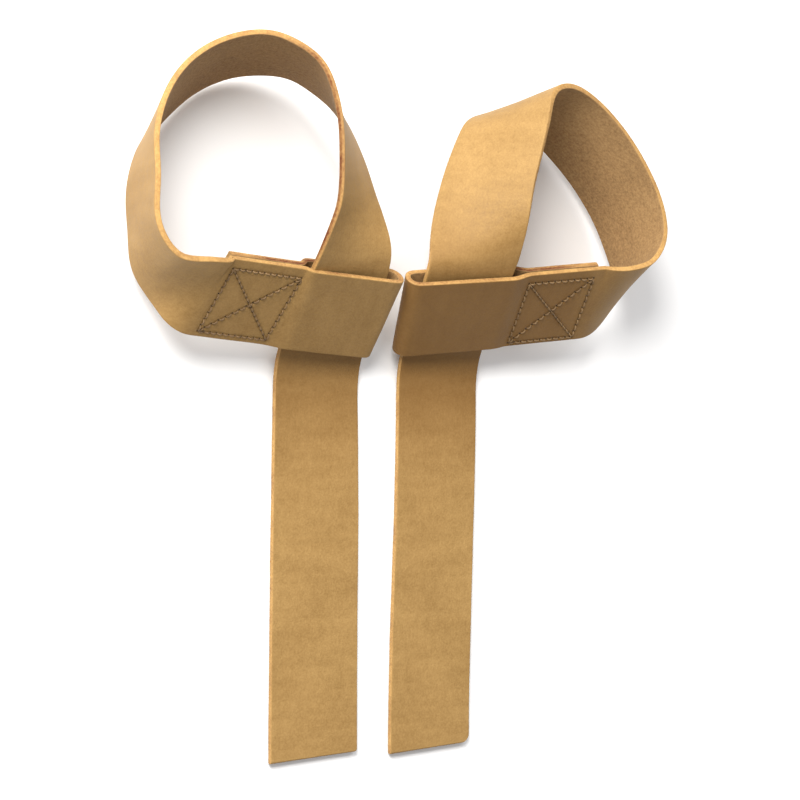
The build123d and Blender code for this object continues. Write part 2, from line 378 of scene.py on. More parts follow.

# What is each strap's own. Front, back and seam are distances from the strand along the sleeve.
# Breadth is at the cut end and the sewn end. Sway is at the tail's end, the bend and the
# strand's top, and twist, in degrees, at the bend, inside the sleeve and at the strand's top.
# Fold, strand_edge and rise shape the sleeve at its lower and upper edge. Shade and tan darken
# the colour at the mouth, as painted shade of the sleeve on the tail, and at the sewn end and on
# the strand. A crease has its stretch, its place along it and its reach, then its middle and its
# spread across. A loop's station has X counted from the strand, Y, Z, and the strip's lean
# outward from upright in degrees.
STRAPS = {
    "left": {
        "side": 1,
        "x": -25.3,
        "front": 62.0,
        "back": 61.0,
        "seam": (28.5, 59.0),
        "tail_end": -133.3,
        "corner": 1.3,
        "breadth": (1.005, 0.945),
        "sway": (0.9, 2.0, -2.4),
        "twist": (2.2, 0.0, 7.5),
        "rise": (0.9, 1.1),
        "shade_and_tan": (0.55, 0.06, 0.0),
        "creases": [("tail", 81.0, 4.5, 0.0, 14.0), ("strand", 13.0, 7.0, -9.0, 9.0)],
        "fold": (19.0, 13.8),
        "strand_edge": (18.6, 26.4),
        "loop": [
            (-1.6, 70.5, 35.5, -57),
            (-4.6, 91.0, 35.5, -43),
            (-9.6, 109.4, 33.0, -28),
            (-19.4, 122.9, 27.5, -4),
            (-34.4, 127.3, 21.5, 18),
            (-53.8, 122.5, 18.2, 28),
            (-70.2, 110.4, 18.0, 30),
            (-80.0, 95.8, 19.0, 22),
            (-83.2, 78.5, 20.7, 12.5),
            (-83.6, 61.0, 22.4, 13),
            (-79.2, 48.4, 23.8, -4),
            (-69.0, 42.6, 25.4, -28),
        ],
    },
    "right": {
        "side": -1,
        "x": 29.8,
        "front": 60.0,
        "back": 58.0,
        "seam": (27.0, 56.0),
        "tail_end": -132.5,
        "corner": 4.0,
        "breadth": (0.955, 0.925),
        "sway": (-1.8, 1.7, -3.8),
        "twist": (0.0, 0.0, 6.5),
        "rise": (0.3, 1.6),
        "shade_and_tan": (0.78, 0.76, 0.40),
        "creases": [("tail", 52.0, 3.5, 3.0, 9.0), ("strand", 15.0, 4.0, 6.0, 5.0)],
        "fold": (16.9, 21.4),
        "strand_edge": (21.7, 20.4),
        "loop": [
            (-0.2, 68.0, 33.0, -52),
            (-4.4, 82.0, 31.2, -39),
            (-11.0, 95.5, 28.4, -32),
            (-17.4, 107.0, 25.8, -22),
            (-25.3, 114.5, 22.4, 5),
            (-38.2, 116.2, 19.6, 18),
            (-48.0, 110.6, 18.6, 24),
            (-58.9, 101.6, 18.8, 24),
            (-69.6, 89.6, 19.2, 20),
            (-78.4, 75.0, 20.2, 14),
            (-81.6, 60.3, 22.2, 2),
            (-79.4, 48.8, 24.4, -21),
            (-69.6, 42.0, 25.5, -34),
        ],
    },
}


def unit(vector):
    """The vector, or each row of an array of vectors, at length 1."""
    return vector / np.linalg.norm(vector, axis=-1, keepdims=True)


def sleeve_axes(side):
    """The directions along the sewn strip and across it, within the sleeve's slope."""
    across = np.array([side, 0.0, 0.0])
    along = across * math.cos(TURN) - UPHILL * math.sin(TURN)
    return along, across * math.sin(TURN) + UPHILL * math.cos(TURN)


def lean_of(heading, direction, side):
    """How far a width direction leans outward from upright, in radians."""
    outward = unit(np.cross(heading, UP)) * side
    upright = np.cross(outward, heading) * side
    return math.atan2(direction @ outward, direction @ upright)


def loop_course(strap):
    """Fine steps around the wrist loop: the strip's middle and its width direction."""
    side = strap["side"]
    mouth = np.array([strap["x"], MOUTH_Y, MOUTH_Z])
    along, height = sleeve_axes(side)
    top = mouth + UPHILL * STRAND_RUN
    front_end = mouth + OUTWARD * LAYER_PITCH + height * WIDTH / 2 - along * strap["front"]
    places = [top]
    leans = [-math.pi / 2]
    for x, y, z, lean in strap["loop"]:
        places.append(np.array([strap["x"] + side * x, y, z]))
        leans.append(math.radians(lean))
    places.append(front_end)
    leans.append(lean_of(along, height, side))
    steps = [np.linalg.norm(b - a) for a, b in zip(places, places[1:])]
    slopes = [UPHILL]
    turns = [0.0]
    for i in range(1, len(places) - 1):
        before, after = steps[i - 1], steps[i]
        share_in = after / before / (before + after)
        share_out = before / after / (before + after)
        slopes.append((places[i] - places[i - 1]) * share_in + (places[i + 1] - places[i]) * share_out)
        turns.append((leans[i] - leans[i - 1]) * share_in + (leans[i + 1] - leans[i]) * share_out)
    slopes.append(along)
    turns.append(0.0)
    middle, width = [], []
    for i, step in enumerate(steps):
        for t in np.arange(0, 1, FINE_STEP / step):
            start, end = 2 * t**3 - 3 * t**2 + 1, 3 * t**2 - 2 * t**3
            leave, arrive = step * (t**3 - 2 * t**2 + t), step * (t**3 - t**2)
            middle.append(
                places[i] * start + places[i + 1] * end + slopes[i] * leave + slopes[i + 1] * arrive
            )
            lean = leans[i] * start + leans[i + 1] * end + turns[i] * leave + turns[i + 1] * arrive
            pull = 6 * (t - t**2)
            heading = (places[i + 1] - places[i]) * pull / step
            heading = heading + slopes[i] * (3 * t**2 - 4 * t + 1) + slopes[i + 1] * (3 * t**2 - 2 * t)
            outward = unit(np.cross(heading, UP)) * side
            upright = unit(np.cross(outward, heading)) * side
            width.append(upright * math.cos(lean) + outward * math.sin(lean))
    return middle, width, front_end


def smooth_step(share):
    """A share from 0 to 1 that starts and stops gently."""
    return share * share * (3 - 2 * share)


def eased_values(gone, stops, values):
    """Values that go smoothly from stop to stop along the strip."""
    place = np.interp(gone, stops, np.arange(len(stops)))
    before = np.minimum(place.astype(int), len(stops) - 2)
    share = smooth_step(place - before)
    values = np.array(values, float)
    return values[before] * (1 - share) + values[before + 1] * share


def strip_course(strap):
    """The whole strip from its cut end to the sleeve's front: distance, middle and width."""
    side, x = strap["side"], strap["x"]
    flat_width = np.array([-side, 0.0, 0.0])
    middle = [np.array([x, y, THICK / 2]) for y in np.arange(strap["tail_end"], BEND_Y, FINE_STEP)]
    for angle in np.arange(0, SLOPE, FINE_STEP / BEND_RADIUS):
        rise = BEND_RADIUS * (1 - math.cos(angle))
        middle.append(np.array([x, BEND_Y + BEND_RADIUS * math.sin(angle), THICK / 2 + rise]))
    mouth = np.array([x, MOUTH_Y, MOUTH_Z])
    middle += [mouth + UPHILL * run for run in np.arange(0, STRAND_RUN, FINE_STEP)]
    width = [flat_width] * len(middle)
    loop_middle, loop_width, front_end = loop_course(strap)
    along, height = sleeve_axes(side)
    middle += loop_middle + [front_end, front_end + along * SEAM_OVERLAP]
    width += loop_width + [height, height]
    middle, width = np.array(middle), unit(np.array(width))
    gone = np.concatenate([[0], np.cumsum(np.linalg.norm(np.diff(middle, axis=0), axis=1))])
    bend_start = BEND_Y - strap["tail_end"]
    mouth_distance = bend_start + BEND_RADIUS * SLOPE
    top_distance = mouth_distance + STRAND_RUN
    sway_stops = [0, bend_start, top_distance, top_distance + SWAY_FADE]
    middle[:, 0] += eased_values(gone, sway_stops, [*strap["sway"], 0])
    kernel = np.exp(-((np.arange(-3 * SOFTENING, 3 * SOFTENING + 1) / SOFTENING) ** 2) / 2)
    kernel /= kernel.sum()
    keep = np.clip(np.minimum(gone, gone[-1] - gone) / STEADY_END, 0, 1)[:, None]
    reach = len(kernel) // 2
    for values in (middle, width):
        padded = np.concatenate([values[:1].repeat(reach, 0), values, values[-1:].repeat(reach, 0)])
        soft = np.stack([np.convolve(padded[:, axis], kernel, "valid") for axis in range(3)], axis=1)
        values += (soft - values) * keep
    twist = eased_values(
        gone,
        [
            bend_start - TWIST_LEAD,
            bend_start,
            mouth_distance + TWIST_INSIDE,
            top_distance,
            top_distance + TWIST_FADE,
        ],
        [0, *np.radians(strap["twist"]), 0],
    )[:, None]
    heading = unit(np.gradient(middle, axis=0))
    width = unit(width * np.cos(twist) + np.cross(heading, width) * side * np.sin(twist))
    strap["mouth_distance"] = mouth_distance
    strap["top_distance"] = top_distance
    return gone, middle, width


def at(gone, values, wanted):
    """The rows of values at the wanted distances along the course."""
    return np.stack([np.interp(wanted, gone, values[:, axis]) for axis in range(3)], axis=1)


def strip_surface(strap, distances, across):
    """The strip's middle surface: places at some distances along it and across it."""
    gone, middle, width = strap["course"]
    breadth = np.interp(distances, [0, gone[-1]], strap["breadth"])[:, None]
    to_sleeve = eased_values(distances, [strap["top_distance"], gone[-1]], [0, 1])[:, None]
    spread = across[None, :] * breadth + WIDTH / 2 * (1 - breadth) * to_sleeve
    places = at(gone, middle, distances)[:, None]
    return places + spread[:, :, None] * at(gone, width, distances)[:, None]


# How a strip gets its body: a ring of points around its cross-section, rounded where the knife
# left the corners, repeated along the course. Every point carries what the leather's colours and
# relief need: its place on the strip, and whether it is flesh, cut edge, soaked or a needle hole.
# The strip is a little thinner than its solid, and crushed thinner still at the cut end.
EDGE_POINTS = [(0.32, 1.2), (0.17, 1.16), (0.05, 1.04), (0.0, 0.78), (0.0, 0.26)]
EDGE_SHARES = [0.0, 0.6, 1.0, 1.0]
SKIVED = 0.91
CRUSH = 0.28
CRUSH_REACH = 0.22
CALM_REACH = 2.5
WAVE_CALM_REACH = 18
HIDES_APART = 40.0
GRAIN_SOAK = 0.4


def ring_of(cell):
    """The cross-section's points: across the strip, through it, and how much flesh and edge."""
    half_width = WIDTH / 2
    inset = EDGE_POINTS[0][0]
    count = int(round((WIDTH - 2 * inset) / cell))
    flat = np.linspace(-half_width + inset, half_width - inset, count + 1)
    points = [(v, THICK / 2, 0.0, 0.0) for v in flat]
    corner = [(half_width - e, t, 0.0, c) for (e, t), c in zip(EDGE_POINTS[1:], EDGE_SHARES)]
    points += corner
    points += [(v, -t, 1.0, c) for v, t, _, c in reversed(corner)]
    points += [(v, -THICK / 2, 1.0, 0.0) for v in flat[::-1]]
    points += [(-v, -t, 1.0, c) for v, t, _, c in corner]
    points += [(-v, t, 0.0, c) for v, t, _, c in reversed(corner)]
    return np.array(points)


def surface_normals(surface, side):
    """The grain side's direction at every point of a strip's middle surface."""
    downstream = np.gradient(surface, axis=0)
    across = np.gradient(surface, axis=1)
    return unit(np.cross(downstream, across)) * side


def strip_piece(name, surface, distances, ring, side, soaked, strap, holes=None, cut_end=False):
    """The closed mesh of a stretch of strip, from its middle surface at every ring's points."""
    rows, columns = surface.shape[0], len(ring)
    along, across = distances[:, None], ring[None, :, 0]
    normals = surface_normals(surface, side)
    lookup = np.searchsorted(np.unique(ring[:, 0]), ring[:, 0])
    thickness = np.ones(rows)
    if cut_end:
        thickness = 1 - CRUSH * np.exp(-((distances - distances[0]) / CRUSH_REACH) ** 2)
    through = ring[:, 1][None, :] * thickness[:, None] * SKIVED
    points = surface[:, lookup] + normals[:, lookup] * through[:, :, None]
    hole = np.zeros((rows, columns))
    if holes is not None:
        depth, hole = holes
        points = points - normals[:, lookup] * depth[:, :, None]
    grid = np.arange(rows * columns).reshape(rows, columns)
    a, b = grid[:-1], grid[1:]
    quads = np.stack([a, np.roll(a, -1, 1), np.roll(b, -1, 1), b], axis=-1).reshape(-1, 4)
    flat_count = np.count_nonzero(ring[:, 1] == THICK / 2)
    corner_count = (columns - 2 * flat_count) // 4
    caps = []
    crossing = np.arange(-corner_count, flat_count + corner_count)
    top = crossing % columns
    bottom = (2 * (flat_count + corner_count) - 1 - crossing) % columns
    for row, turn in ((0, 1), (rows - 1, -1)):
        upper, lower = grid[row][top], grid[row][bottom]
        cap = np.stack([upper[:-1], lower[:-1], lower[1:], upper[1:]], axis=-1)
        caps.append(cap[:, ::turn])
    faces = np.concatenate([quads, *caps])
    corners = points.reshape(-1, 3)[faces]
    first = np.cross(corners[:, 1] - corners[:, 0], corners[:, 2] - corners[:, 0])
    second = np.cross(corners[:, 2] - corners[:, 0], corners[:, 3] - corners[:, 0])
    volume = np.einsum("ij,ij->", corners[:, 0], first + second)
    if volume < 0:
        faces = faces[:, ::-1]
    mesh = bpy.data.meshes.new(name)
    mesh.from_pydata((points.reshape(-1, 3) * MM).tolist(), [], faces.tolist())
    mesh.validate()

    loop_steps = np.linalg.norm(np.roll(ring[:, :2], -1, 0) - ring[:, :2], axis=1)
    around = np.concatenate([[0], np.cumsum(loop_steps)])
    place = np.zeros((rows, columns, 3))
    place[:, :, 0] = distances[:, None]
    place[:, :, 1] = around[:-1][None, :]
    place[:, :, 2] = side * HIDES_APART
    inner_cut = distances[-1] - distances
    if not cut_end:
        inner_cut = np.minimum(inner_cut, distances - distances[0])
    everywhere = np.ones((rows, columns))
    soak_share = GRAIN_SOAK + (1 - GRAIN_SOAK) * ring[None, :, 2]
    vertex_values = {
        "lively": smooth_step(np.clip(inner_cut / CALM_REACH, 0, 1))[:, None] * everywhere,
        "wavy": smooth_step(np.clip(inner_cut / WAVE_CALM_REACH, 0, 1))[:, None] * everywhere,
        # Painted shade near the sleeve's mouth, and the darker sewn end and strand top.
        "sleeve_shade_and_tan": strap["tone"](along, across) * everywhere,
        "flesh": ring[None, :, 2] * everywhere,
        "cut_edge": ring[None, :, 3] * everywhere,
        "soaked": soaked(along, across) * soak_share,
        "creased": strap["creased"](along, across) * everywhere,
        "hole": hole,
    }
    if cut_end:
        vertex_values["cut_edge"][0] = 1.0
    ends = [rows - 1] if cut_end else [0, rows - 1]
    at_end = np.isin(np.arange(rows * columns) // columns, ends)
    edge_vertices = np.zeros(len(mesh.edges) * 2, np.int64)
    mesh.edges.foreach_get("vertices", edge_vertices)
    sharp = at_end[edge_vertices].reshape(-1, 2).all(axis=1)
    mesh.attributes.new("sharp_edge", "BOOLEAN", "EDGE").data.foreach_set("value", sharp)
    for key, values in vertex_values.items():
        layer = mesh.attributes.new(key, "FLOAT", "POINT")
        layer.data.foreach_set("value", values.astype(np.float32).ravel())
    layer = mesh.attributes.new("strip_place", "FLOAT_VECTOR", "POINT")
    layer.data.foreach_set("vector", place.astype(np.float32).ravel())
    uv_layer = mesh.uv_layers.new(name="strip")
    corner_vertices = np.zeros(len(mesh.loops), np.int64)
    mesh.loops.foreach_get("vertex_index", corner_vertices)
    uv = place.reshape(-1, 3)[corner_vertices][:, :2].reshape(-1, 4, 2)
    girth = around[-1]
    wraps = (uv[:, :, 1].max(1) - uv[:, :, 1].min(1)) > girth / 2
    unwrapped = uv[wraps]
    unwrapped[:, :, 1] += (unwrapped[:, :, 1] < girth / 2) * girth
    uv[wraps] = unwrapped
    uv[len(quads):, :, 1] %= girth
    uv_layer.data.foreach_set("uv", (uv * MM).astype(np.float32).ravel())

    piece = bpy.data.objects.new(name, mesh)
    bpy.context.scene.collection.objects.link(piece)
    plain_mesh(piece, relief, {"Leather": leather})
    return piece


# The free tail and the bend of each strap. The tail lies flat on the table, from the slanted
# knife cut at its end, and folds up near the bend to be wound around a bar. The bend climbs from
# the table into the sleeve's mouth, between its two layers.
CELL = 0.62
END_ROWS = [0, 0.04, 0.12, 0.24, 0.42, 0.66, 1.0, 1.4, 1.9, 2.45, 3.0, 3.6]
AFTER_END_ROWS = 0.6
END_SLANT = 2.5
SLANT_REACH = 14
END_SOAK = 0.4
END_SOAK_REACH = 1.5
# Reaches of the painted shade below the sleeve's mouth, and of the darkening at the sewn end and the
# strand.
MOUTH_SHADE_BEFORE = 6
MOUTH_SHADE_REACH = 34
SEWN_DARK_BEFORE = 22
SEWN_DARK_REACH = 34
STRAND_DARK_REACH = 17
TAIL_TOP_Y = -10.0
SLEEVE_INSIDE = 20.0
STRIP_RING = ring_of(CELL)


def soaked_end(s, v):
    """The cut end of a tail is stained a little."""
    return np.exp(-((s / END_SOAK_REACH) ** 2)) * END_SOAK + 0 * v


def not_soaked(s, v):
    """The bend has no stain."""
    return 0 * s


for name, strap in STRAPS.items():
    side, x = strap["side"], strap["x"]
    strap["course"] = strip_course(strap)
    loop_end = strap["course"][0][-1]

    def tone(s, v, strap=strap, loop_end=loop_end):
        """Painted shade near the sleeve's mouth; darker also at the sewn end and the strand top."""
        from_mouth = s - strap["mouth_distance"] + MOUTH_SHADE_BEFORE
        mouth = np.exp(-((from_mouth / MOUTH_SHADE_REACH) ** 2)) * strap["shade_and_tan"][0]
        sewn = np.clip((s - loop_end + SEWN_DARK_BEFORE) / SEWN_DARK_REACH, 0, 1) * strap["shade_and_tan"][1]
        strand = np.exp(-(((s - strap["top_distance"]) / STRAND_DARK_REACH) ** 2)) * strap["shade_and_tan"][2]
        return np.maximum(np.maximum(mouth, strand), sewn)

    def creased(s, v, strap=strap):
        """Short stretches of fine cross creases, where the strip has been bent back and forth."""
        total = 0 * s + 0 * v
        for stretch, place, reach, middle, spread in strap["creases"]:
            centre = place + (strap["top_distance"] if stretch == "strand" else 0)
            total = total + np.exp(-(((s - centre) / reach) ** 2) - ((v - middle) / spread) ** 2)
        return total

    strap["tone"] = tone
    strap["creased"] = creased
    across = np.unique(STRIP_RING[:, 0])
    tail_length = TAIL_TOP_Y - strap["tail_end"]
    body = np.arange(END_ROWS[-1] + AFTER_END_ROWS, tail_length, CELL)
    distances = np.concatenate([END_ROWS, body, [tail_length]])
    surface = strip_surface(strap, distances, across)
    from_left = (surface[:, :, 0] - x) / WIDTH + 0.5
    fade = np.clip(1 - distances / SLANT_REACH, 0, 1)[:, None]
    surface[:, :, 1] += END_SLANT * from_left * fade
    radius = strap["corner"]
    near = np.clip(radius - distances, 0, radius)
    rounding = (radius - np.sqrt(np.maximum(radius**2 - near**2, 0)))[:, None]
    surface[:, :, 0] -= rounding * from_left
    tail = strip_piece(
        f"{name}_free_tail",
        surface,
        distances,
        STRIP_RING,
        side,
        soaked_end,
        strap,
        cut_end=True,
    )
    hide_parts(f"{name}_tail")
    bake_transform(tail)

    bend_end = strap["mouth_distance"] + SLEEVE_INSIDE
    distances = np.linspace(tail_length, bend_end, int((bend_end - tail_length) / CELL) + 1)
    surface = strip_surface(strap, distances, across)
    bend = strip_piece(f"{name}_bend", surface, distances, STRIP_RING, side, not_soaked, strap)
    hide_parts(f"{name}_tail_bend")
    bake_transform(bend)
    strap["bend_end"] = bend_end

# The wrist loop: the strip leaves the sleeve's top, stands up on its edge as it turns around
# the wrist, and comes back to the sleeve's front with its grain side outwards.
SOAK_SHARE = {"left": 1.0, "right": 0.2}
SOAK_START = 15
SOAK_LENGTH = 95
SOAK_RAMP = 12

for name, strap in STRAPS.items():
    side = strap["side"]
    loop_end = strap["course"][0][-1]
    across = np.unique(STRIP_RING[:, 0])
    length = loop_end - strap["bend_end"]
    distances = np.linspace(strap["bend_end"], loop_end, int(length / CELL) + 1)
    surface = strip_surface(strap, distances, across)

    def soaked(s, v, first=strap["bend_end"] + SOAK_START, share=SOAK_SHARE[name]):
        """The red-brown stretch of the loop's upper edge above the sleeve."""
        begins = np.clip((s - first) / SOAK_RAMP, 0, 1)
        ends = np.clip((first + SOAK_LENGTH - s) / SOAK_RAMP, 0, 1)
        return begins * ends * (v > 0) * share

    loop = strip_piece(f"{name}_wrist_loop", surface, distances, STRIP_RING, side, soaked, strap)
    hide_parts(f"{name}_loop", f"{name}_strand")
    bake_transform(loop)

# The sleeve: the last stretch of the strip, folded around the strand's edge and sewn back on
# itself. Its layers part a little at the lower edge, where the strand comes in, and its fold
# stands round and open at the top.
FLARE = (0.5, 0.3)
PINCH = 0.15
RUN_STEPS = 80
RAMP_STEPS = 7
FOLD_STEPS = 30
EASE_REACH = 9
SEAM_MARGIN = 1.6
SEAM_INSET = 4.4
STITCH_PITCH = 2.9
SEWN_CELL = 0.34
OPEN_CELL = 0.66
SEWN_BORDER = 3
SLEEVE_RING = ring_of(0.42)
HOLE_RADIUS = 0.42
HOLE_DEPTH = 0.55
HOLE_DARK = 1.6
HOLE_FAINT = 0.25
GROOVE_RADIUS = 0.75
GROOVE_DEPTH = 0.16
FOLD_SOAK = 0.35
FOLD_SOAK_START = 55
FOLD_SOAK_RAMP = 20
BACK_SOAK = 0.75
BACK_SOAK_START = 32
BACK_SOAK_END = 72
BACK_SOAK_RAMP = 6


def hairpin(strap, upper):
    """The sleeve's middle line seen along the strip's width, at its lower or upper edge."""
    fold, strand_edge = strap["fold"][upper], strap["strand_edge"][upper]
    rise = strap["rise"][upper]
    front = LAYER_PITCH + FLARE[upper]
    back = -LAYER_PITCH - rise
    flat_start = max(strap["seam"][0] - SEAM_MARGIN, strand_edge + SEAM_MARGIN)
    pressed = LAYER_PITCH - THICK - PINCH
    runs = [
        ((SEAM_OVERLAP - strap["front"], LAYER_PITCH), (-flat_start, LAYER_PITCH), RUN_STEPS),
        ((-flat_start, LAYER_PITCH), (-strand_edge, front + rise), RAMP_STEPS),
        ((-strand_edge, front + rise), (fold, front), RUN_STEPS),
        None,
        ((fold, back), (-strand_edge, -LAYER_PITCH), RUN_STEPS),
        ((-strand_edge, -LAYER_PITCH), (-flat_start, pressed), RAMP_STEPS),
        ((-flat_start, pressed), (-strap["back"], pressed), RUN_STEPS),
    ]
    points = []
    for run in runs:
        if run is None:
            turn = np.linspace(math.pi / 2, -math.pi / 2, FOLD_STEPS + 1)[:-1]
            radius = (front - back) / 2
            level = (front + back) / 2
            arc = np.stack([fold + radius * np.cos(turn), level + radius * np.sin(turn)], 1)
            points.append(arc)
        else:
            start, end, count = run
            share = np.linspace(0, 1, count + 1)[:-1, None]
            points.append(np.array(start) * (1 - share) + np.array(end) * share)
    points.append(np.array([[-strap["back"], pressed]]))
    return np.concatenate(points)


def eased(path, reach):
    """A path with its corners eased by averaging each point with its neighbours."""
    kernel = np.exp(-np.linspace(-2, 2, 2 * reach + 1) ** 2)
    kernel /= kernel.sum()
    padded = np.concatenate(
        [
            2 * path[0] - path[reach:0:-1],
            path,
            2 * path[-1] - path[-2:-reach - 2:-1],
        ]
    )
    return np.stack([np.convolve(padded[:, axis], kernel, "valid") for axis in range(2)], 1)


def seam_runs(strap):
    """The seam's six straight runs, as pairs of places along the sleeve and up it."""
    start, finish = strap["seam"]
    low, high = SEAM_INSET, WIDTH - SEAM_INSET
    corners = [(-start, low), (-start, high), (-finish, high), (-finish, low)]
    runs = [(corners[i], corners[(i + 1) % 4]) for i in range(4)]
    return np.array(runs + [(corners[0], corners[2]), (corners[1], corners[3])])


def seam_marks(strap, along_strip, up_strip):
    """How deep the seam draws the leather in at each point, and its needle holes' painted shade."""
    groove = np.zeros(along_strip.shape)
    hole = np.zeros(along_strip.shape)
    for start, end in seam_runs(strap):
        run = end - start
        length = np.linalg.norm(run)
        count = int(round(length / STITCH_PITCH))
        direction = run / length
        offset_x, offset_y = along_strip - start[0], up_strip - start[1]
        travel = offset_x * direction[0] + offset_y * direction[1]
        away = np.abs(offset_x * direction[1] - offset_y * direction[0])
        past = np.maximum(np.maximum(-travel, travel - length), 0)
        groove = np.maximum(groove, np.exp(-(away**2 + past**2) / GROOVE_RADIUS**2))
        nearest = np.clip(np.round(travel * count / length), 0, count) * length / count
        gap = np.hypot(travel - nearest, away)
        hole = np.maximum(hole, np.exp(-((gap / HOLE_RADIUS) ** 2)))
    return groove * GROOVE_DEPTH + hole * HOLE_DEPTH, np.clip(hole * HOLE_DARK - HOLE_FAINT, 0, 1)


for name, strap in STRAPS.items():
    side = strap["side"]
    along, height = sleeve_axes(side)
    mouth = np.array([strap["x"], MOUTH_Y, MOUTH_Z])
    lower = eased(hairpin(strap, False), EASE_REACH)
    upper = eased(hairpin(strap, True), EASE_REACH)
    half_way = (lower + upper) / 2
    gone = np.concatenate([[0], np.cumsum(np.linalg.norm(np.diff(half_way, axis=0), axis=1))])
    seam_start, seam_end = strap["seam"]
    reached = half_way[:, 0] < SEWN_BORDER - seam_start
    sewn = reached & (half_way[:, 0] > -seam_end - SEWN_BORDER)
    cells = np.where(sewn, SEWN_CELL, OPEN_CELL)
    count_so_far = np.concatenate([[0], np.cumsum(np.diff(gone) / cells[1:])])
    wanted = np.interp(
        np.linspace(0, count_so_far[-1], int(count_so_far[-1]) + 1), count_so_far, gone
    )
    rows = []
    for path in (lower, upper):
        rows.append(np.stack([np.interp(wanted, gone, path[:, axis]) for axis in range(2)], 1))
    across = np.unique(SLEEVE_RING[:, 0])
    up_sleeve = WIDTH / 2 + across * strap["breadth"][1] + WIDTH / 2 * (1 - strap["breadth"][1])
    share = (up_sleeve / WIDTH)[None, :, None]
    flat_place = rows[0][:, None] * (1 - share) + rows[1][:, None] * share
    surface = (
        mouth
        + flat_place[:, :, :1] * along
        + flat_place[:, :, 1:] * OUTWARD
        + up_sleeve[None, :, None] * height
    )
    ring_place = flat_place[:, np.searchsorted(across, SLEEVE_RING[:, 0])]
    ring_height = up_sleeve[np.searchsorted(across, SLEEVE_RING[:, 0])]
    up_strip = np.broadcast_to(ring_height, ring_place.shape[:2])
    depth, hole = seam_marks(strap, ring_place[:, :, 0], up_strip)
    grain_side = SLEEVE_RING[None, :, 2] == 0
    start_distance = strap["course"][0][-1]
    distances = start_distance + wanted

    def soaked(s, v, fold_at=start_distance + gone[-1] / 2):
        """The sleeve's upper edge is red-brown inside its fold and along its back layer."""
        inside = np.clip((s - fold_at + FOLD_SOAK_START) / FOLD_SOAK_RAMP, 0, 1) * FOLD_SOAK
        begins = np.clip((s - fold_at - BACK_SOAK_START) / BACK_SOAK_RAMP, 0, 1)
        ends = np.clip((fold_at + BACK_SOAK_END - s) / BACK_SOAK_RAMP, 0, 1)
        return (v > 0) * (inside + begins * ends * BACK_SOAK)

    sleeve = strip_piece(
        f"{name}_sewn_sleeve",
        surface,
        distances,
        SLEEVE_RING,
        side,
        soaked,
        strap,
        holes=(depth * grain_side, hole * grain_side),
    )
    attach(sleeve, f"{name}_sleeve")
    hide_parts(f"{name}_sleeve")

# The seam: waxed tan thread in a box with a cross in it, through both layers of the sleeve. Each
# stitch is a twisted thread that rises from one needle hole and dives into the next.
STITCH_REACH = 0.00205
THREAD_RADIUS = 0.00034
STITCH_RISE = 0.00045
STITCH_DIP = 0.0004
PLIES = 3
PLY_POINTS = 3
TWIST = 4.2
THREAD_COLOURS = {
    "needle_thread": (0.27, 0.16, 0.064, 1.0),
    "bobbin_thread": (0.25, 0.15, 0.06, 1.0),
}
THREAD_SHADE = (0.42, 0.38, 0.34)
LINT_PER_MM = 2.2
WAX_PER_MM = 0.16
PLY_VALLEY = -0.36

stitching = bpy.data.node_groups.new("boxed_cross_stitching", "GeometryNodeTree")
stitching.interface.new_socket(name="Geometry", in_out="OUTPUT", socket_type="NodeSocketGeometry")
group_input(stitching, "Geometry", "NodeSocketGeometry")
group_input(stitching, "Stitch Pitch", "NodeSocketFloat", STITCH_PITCH * MM)
group_input(stitching, "Stitch Reach", "NodeSocketFloat", STITCH_REACH)
group_input(stitching, "Stitch Rise", "NodeSocketFloat", STITCH_RISE)
group_input(stitching, "Stitch Dip", "NodeSocketFloat", STITCH_DIP)
group_input(stitching, "Thread Radius", "NodeSocketFloat", THREAD_RADIUS)
group_input(stitching, "Face Direction", "NodeSocketVector")
group_input(stitching, "Thread", "NodeSocketMaterial")
given = stitching.nodes.new("NodeGroupInput")


def calculate(tree, operation, *values):
    """A calculation on sockets or plain numbers."""
    node = add_node(tree, "ShaderNodeMath", {"operation": operation})
    for index, value in enumerate(values):
        if isinstance(value, (int, float)):
            node.inputs[index].default_value = value
        else:
            tree.links.new(value, node.inputs[index])
    return node.outputs[0]


def point_of(tree, x, y, z):
    """A point made of three sockets or plain numbers."""
    node = tree.nodes.new("ShaderNodeCombineXYZ")
    for index, value in enumerate((x, y, z)):
        if isinstance(value, (int, float)):
            node.inputs[index].default_value = value
        else:
            tree.links.new(value, node.inputs[index])
    return node.outputs[0]


runs = stitching.nodes.new("GeometryNodeMeshToCurve")
stitching.links.new(given.outputs["Geometry"], runs.inputs["Mesh"])
run_length = stitching.nodes.new("GeometryNodeSplineLength")
run_pitches = calculate(
    stitching, "DIVIDE", run_length.outputs["Length"], given.outputs["Stitch Pitch"]
)
half_share = calculate(stitching, "DIVIDE", 0.5, calculate(stitching, "ROUND", run_pitches))
trim = add_node(stitching, "GeometryNodeTrimCurve", {"mode": "FACTOR"})
stitching.links.new(runs.outputs["Curve"], trim.inputs["Curve"])
stitching.links.new(half_share, trim.inputs["Start"])
stitching.links.new(calculate(stitching, "SUBTRACT", 1.0, half_share), trim.inputs["End"])
trimmed_length = stitching.nodes.new("GeometryNodeSplineLength")
spaced = add_node(stitching, "GeometryNodeResampleCurve", {"mode": "COUNT"})
stitching.links.new(trim.outputs["Curve"], spaced.inputs["Curve"])
trimmed_pitches = calculate(
    stitching, "DIVIDE", trimmed_length.outputs["Length"], given.outputs["Stitch Pitch"]
)
stitch_count = calculate(stitching, "ADD", calculate(stitching, "ROUND", trimmed_pitches), 1.0)
stitching.links.new(stitch_count, spaced.inputs["Count"])
tangent = stitching.nodes.new("GeometryNodeInputTangent")
axes = add_node(
    stitching, "FunctionNodeAxesToRotation", {"primary_axis": "X", "secondary_axis": "Z"}
)
stitching.links.new(tangent.outputs[0], axes.inputs["Primary Axis"])
stitching.links.new(given.outputs["Face Direction"], axes.inputs["Secondary Axis"])

